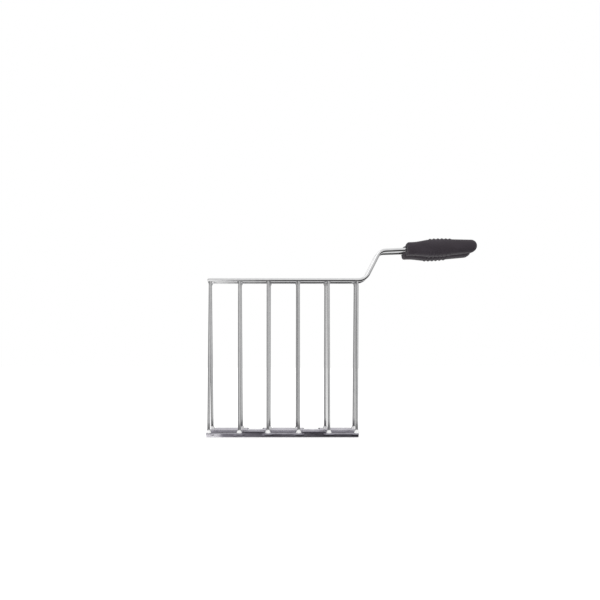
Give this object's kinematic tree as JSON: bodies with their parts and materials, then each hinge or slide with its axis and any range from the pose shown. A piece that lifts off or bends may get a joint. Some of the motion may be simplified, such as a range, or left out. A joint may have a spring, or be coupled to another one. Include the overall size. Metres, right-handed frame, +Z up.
{
  "type": "toaster sandwich cage",
  "caption": "Narrow hinged wire cage with a sheet metal tray at its foot and an S-bent side handle with ribbed plastic grips, for toasting a filled sandwich upright in a toaster slot.",
  "frame": {"origin": "middle of the tray's flat underside", "axes": "+X along the tray towards the grips, +Y from the front side to the back side, +Z up the closed cage"},
  "size_m": [0.2508, 0.0334, 0.1842],
  "materials": {
    "polished_wire": "polished steel wire",
    "polished_sheet": "polished steel sheet",
    "charcoal_plastic": "fine satin grain"
  },
  "bodies": {
    "tray": {"tray": "polished_sheet"},
    "front_side": {"front_hinge_rod": "polished_wire", "front_wire_1": "polished_wire", "front_wire_2": "polished_wire", "front_wire_3": "polished_wire", "front_wire_4": "polished_wire", "front_wire_5": "polished_wire", "front_wire_6": "polished_wire", "front_handle_rod": "polished_wire", "front_grip": "charcoal_plastic"},
    "back_side": {"back_hinge_rod": "polished_wire", "back_wire_1": "polished_wire", "back_wire_2": "polished_wire", "back_wire_3": "polished_wire", "back_wire_4": "polished_wire", "back_wire_5": "polished_wire", "back_wire_6": "polished_wire", "back_handle_rod": "polished_wire", "back_grip": "charcoal_plastic"}
  },
  "joints": [
    {"name": "front_hinge", "type": "hinge", "parent": "tray", "child": "front_side", "pos_m": [0, -0.0124, 0.0027], "axis": [1, 0, 0], "range_deg": [0, 38]},
    {"name": "back_hinge", "type": "hinge", "parent": "tray", "child": "back_side", "pos_m": [0, 0.0124, 0.0027], "axis": [-1, 0, 0], "range_deg": [0, 38]}
  ]
}
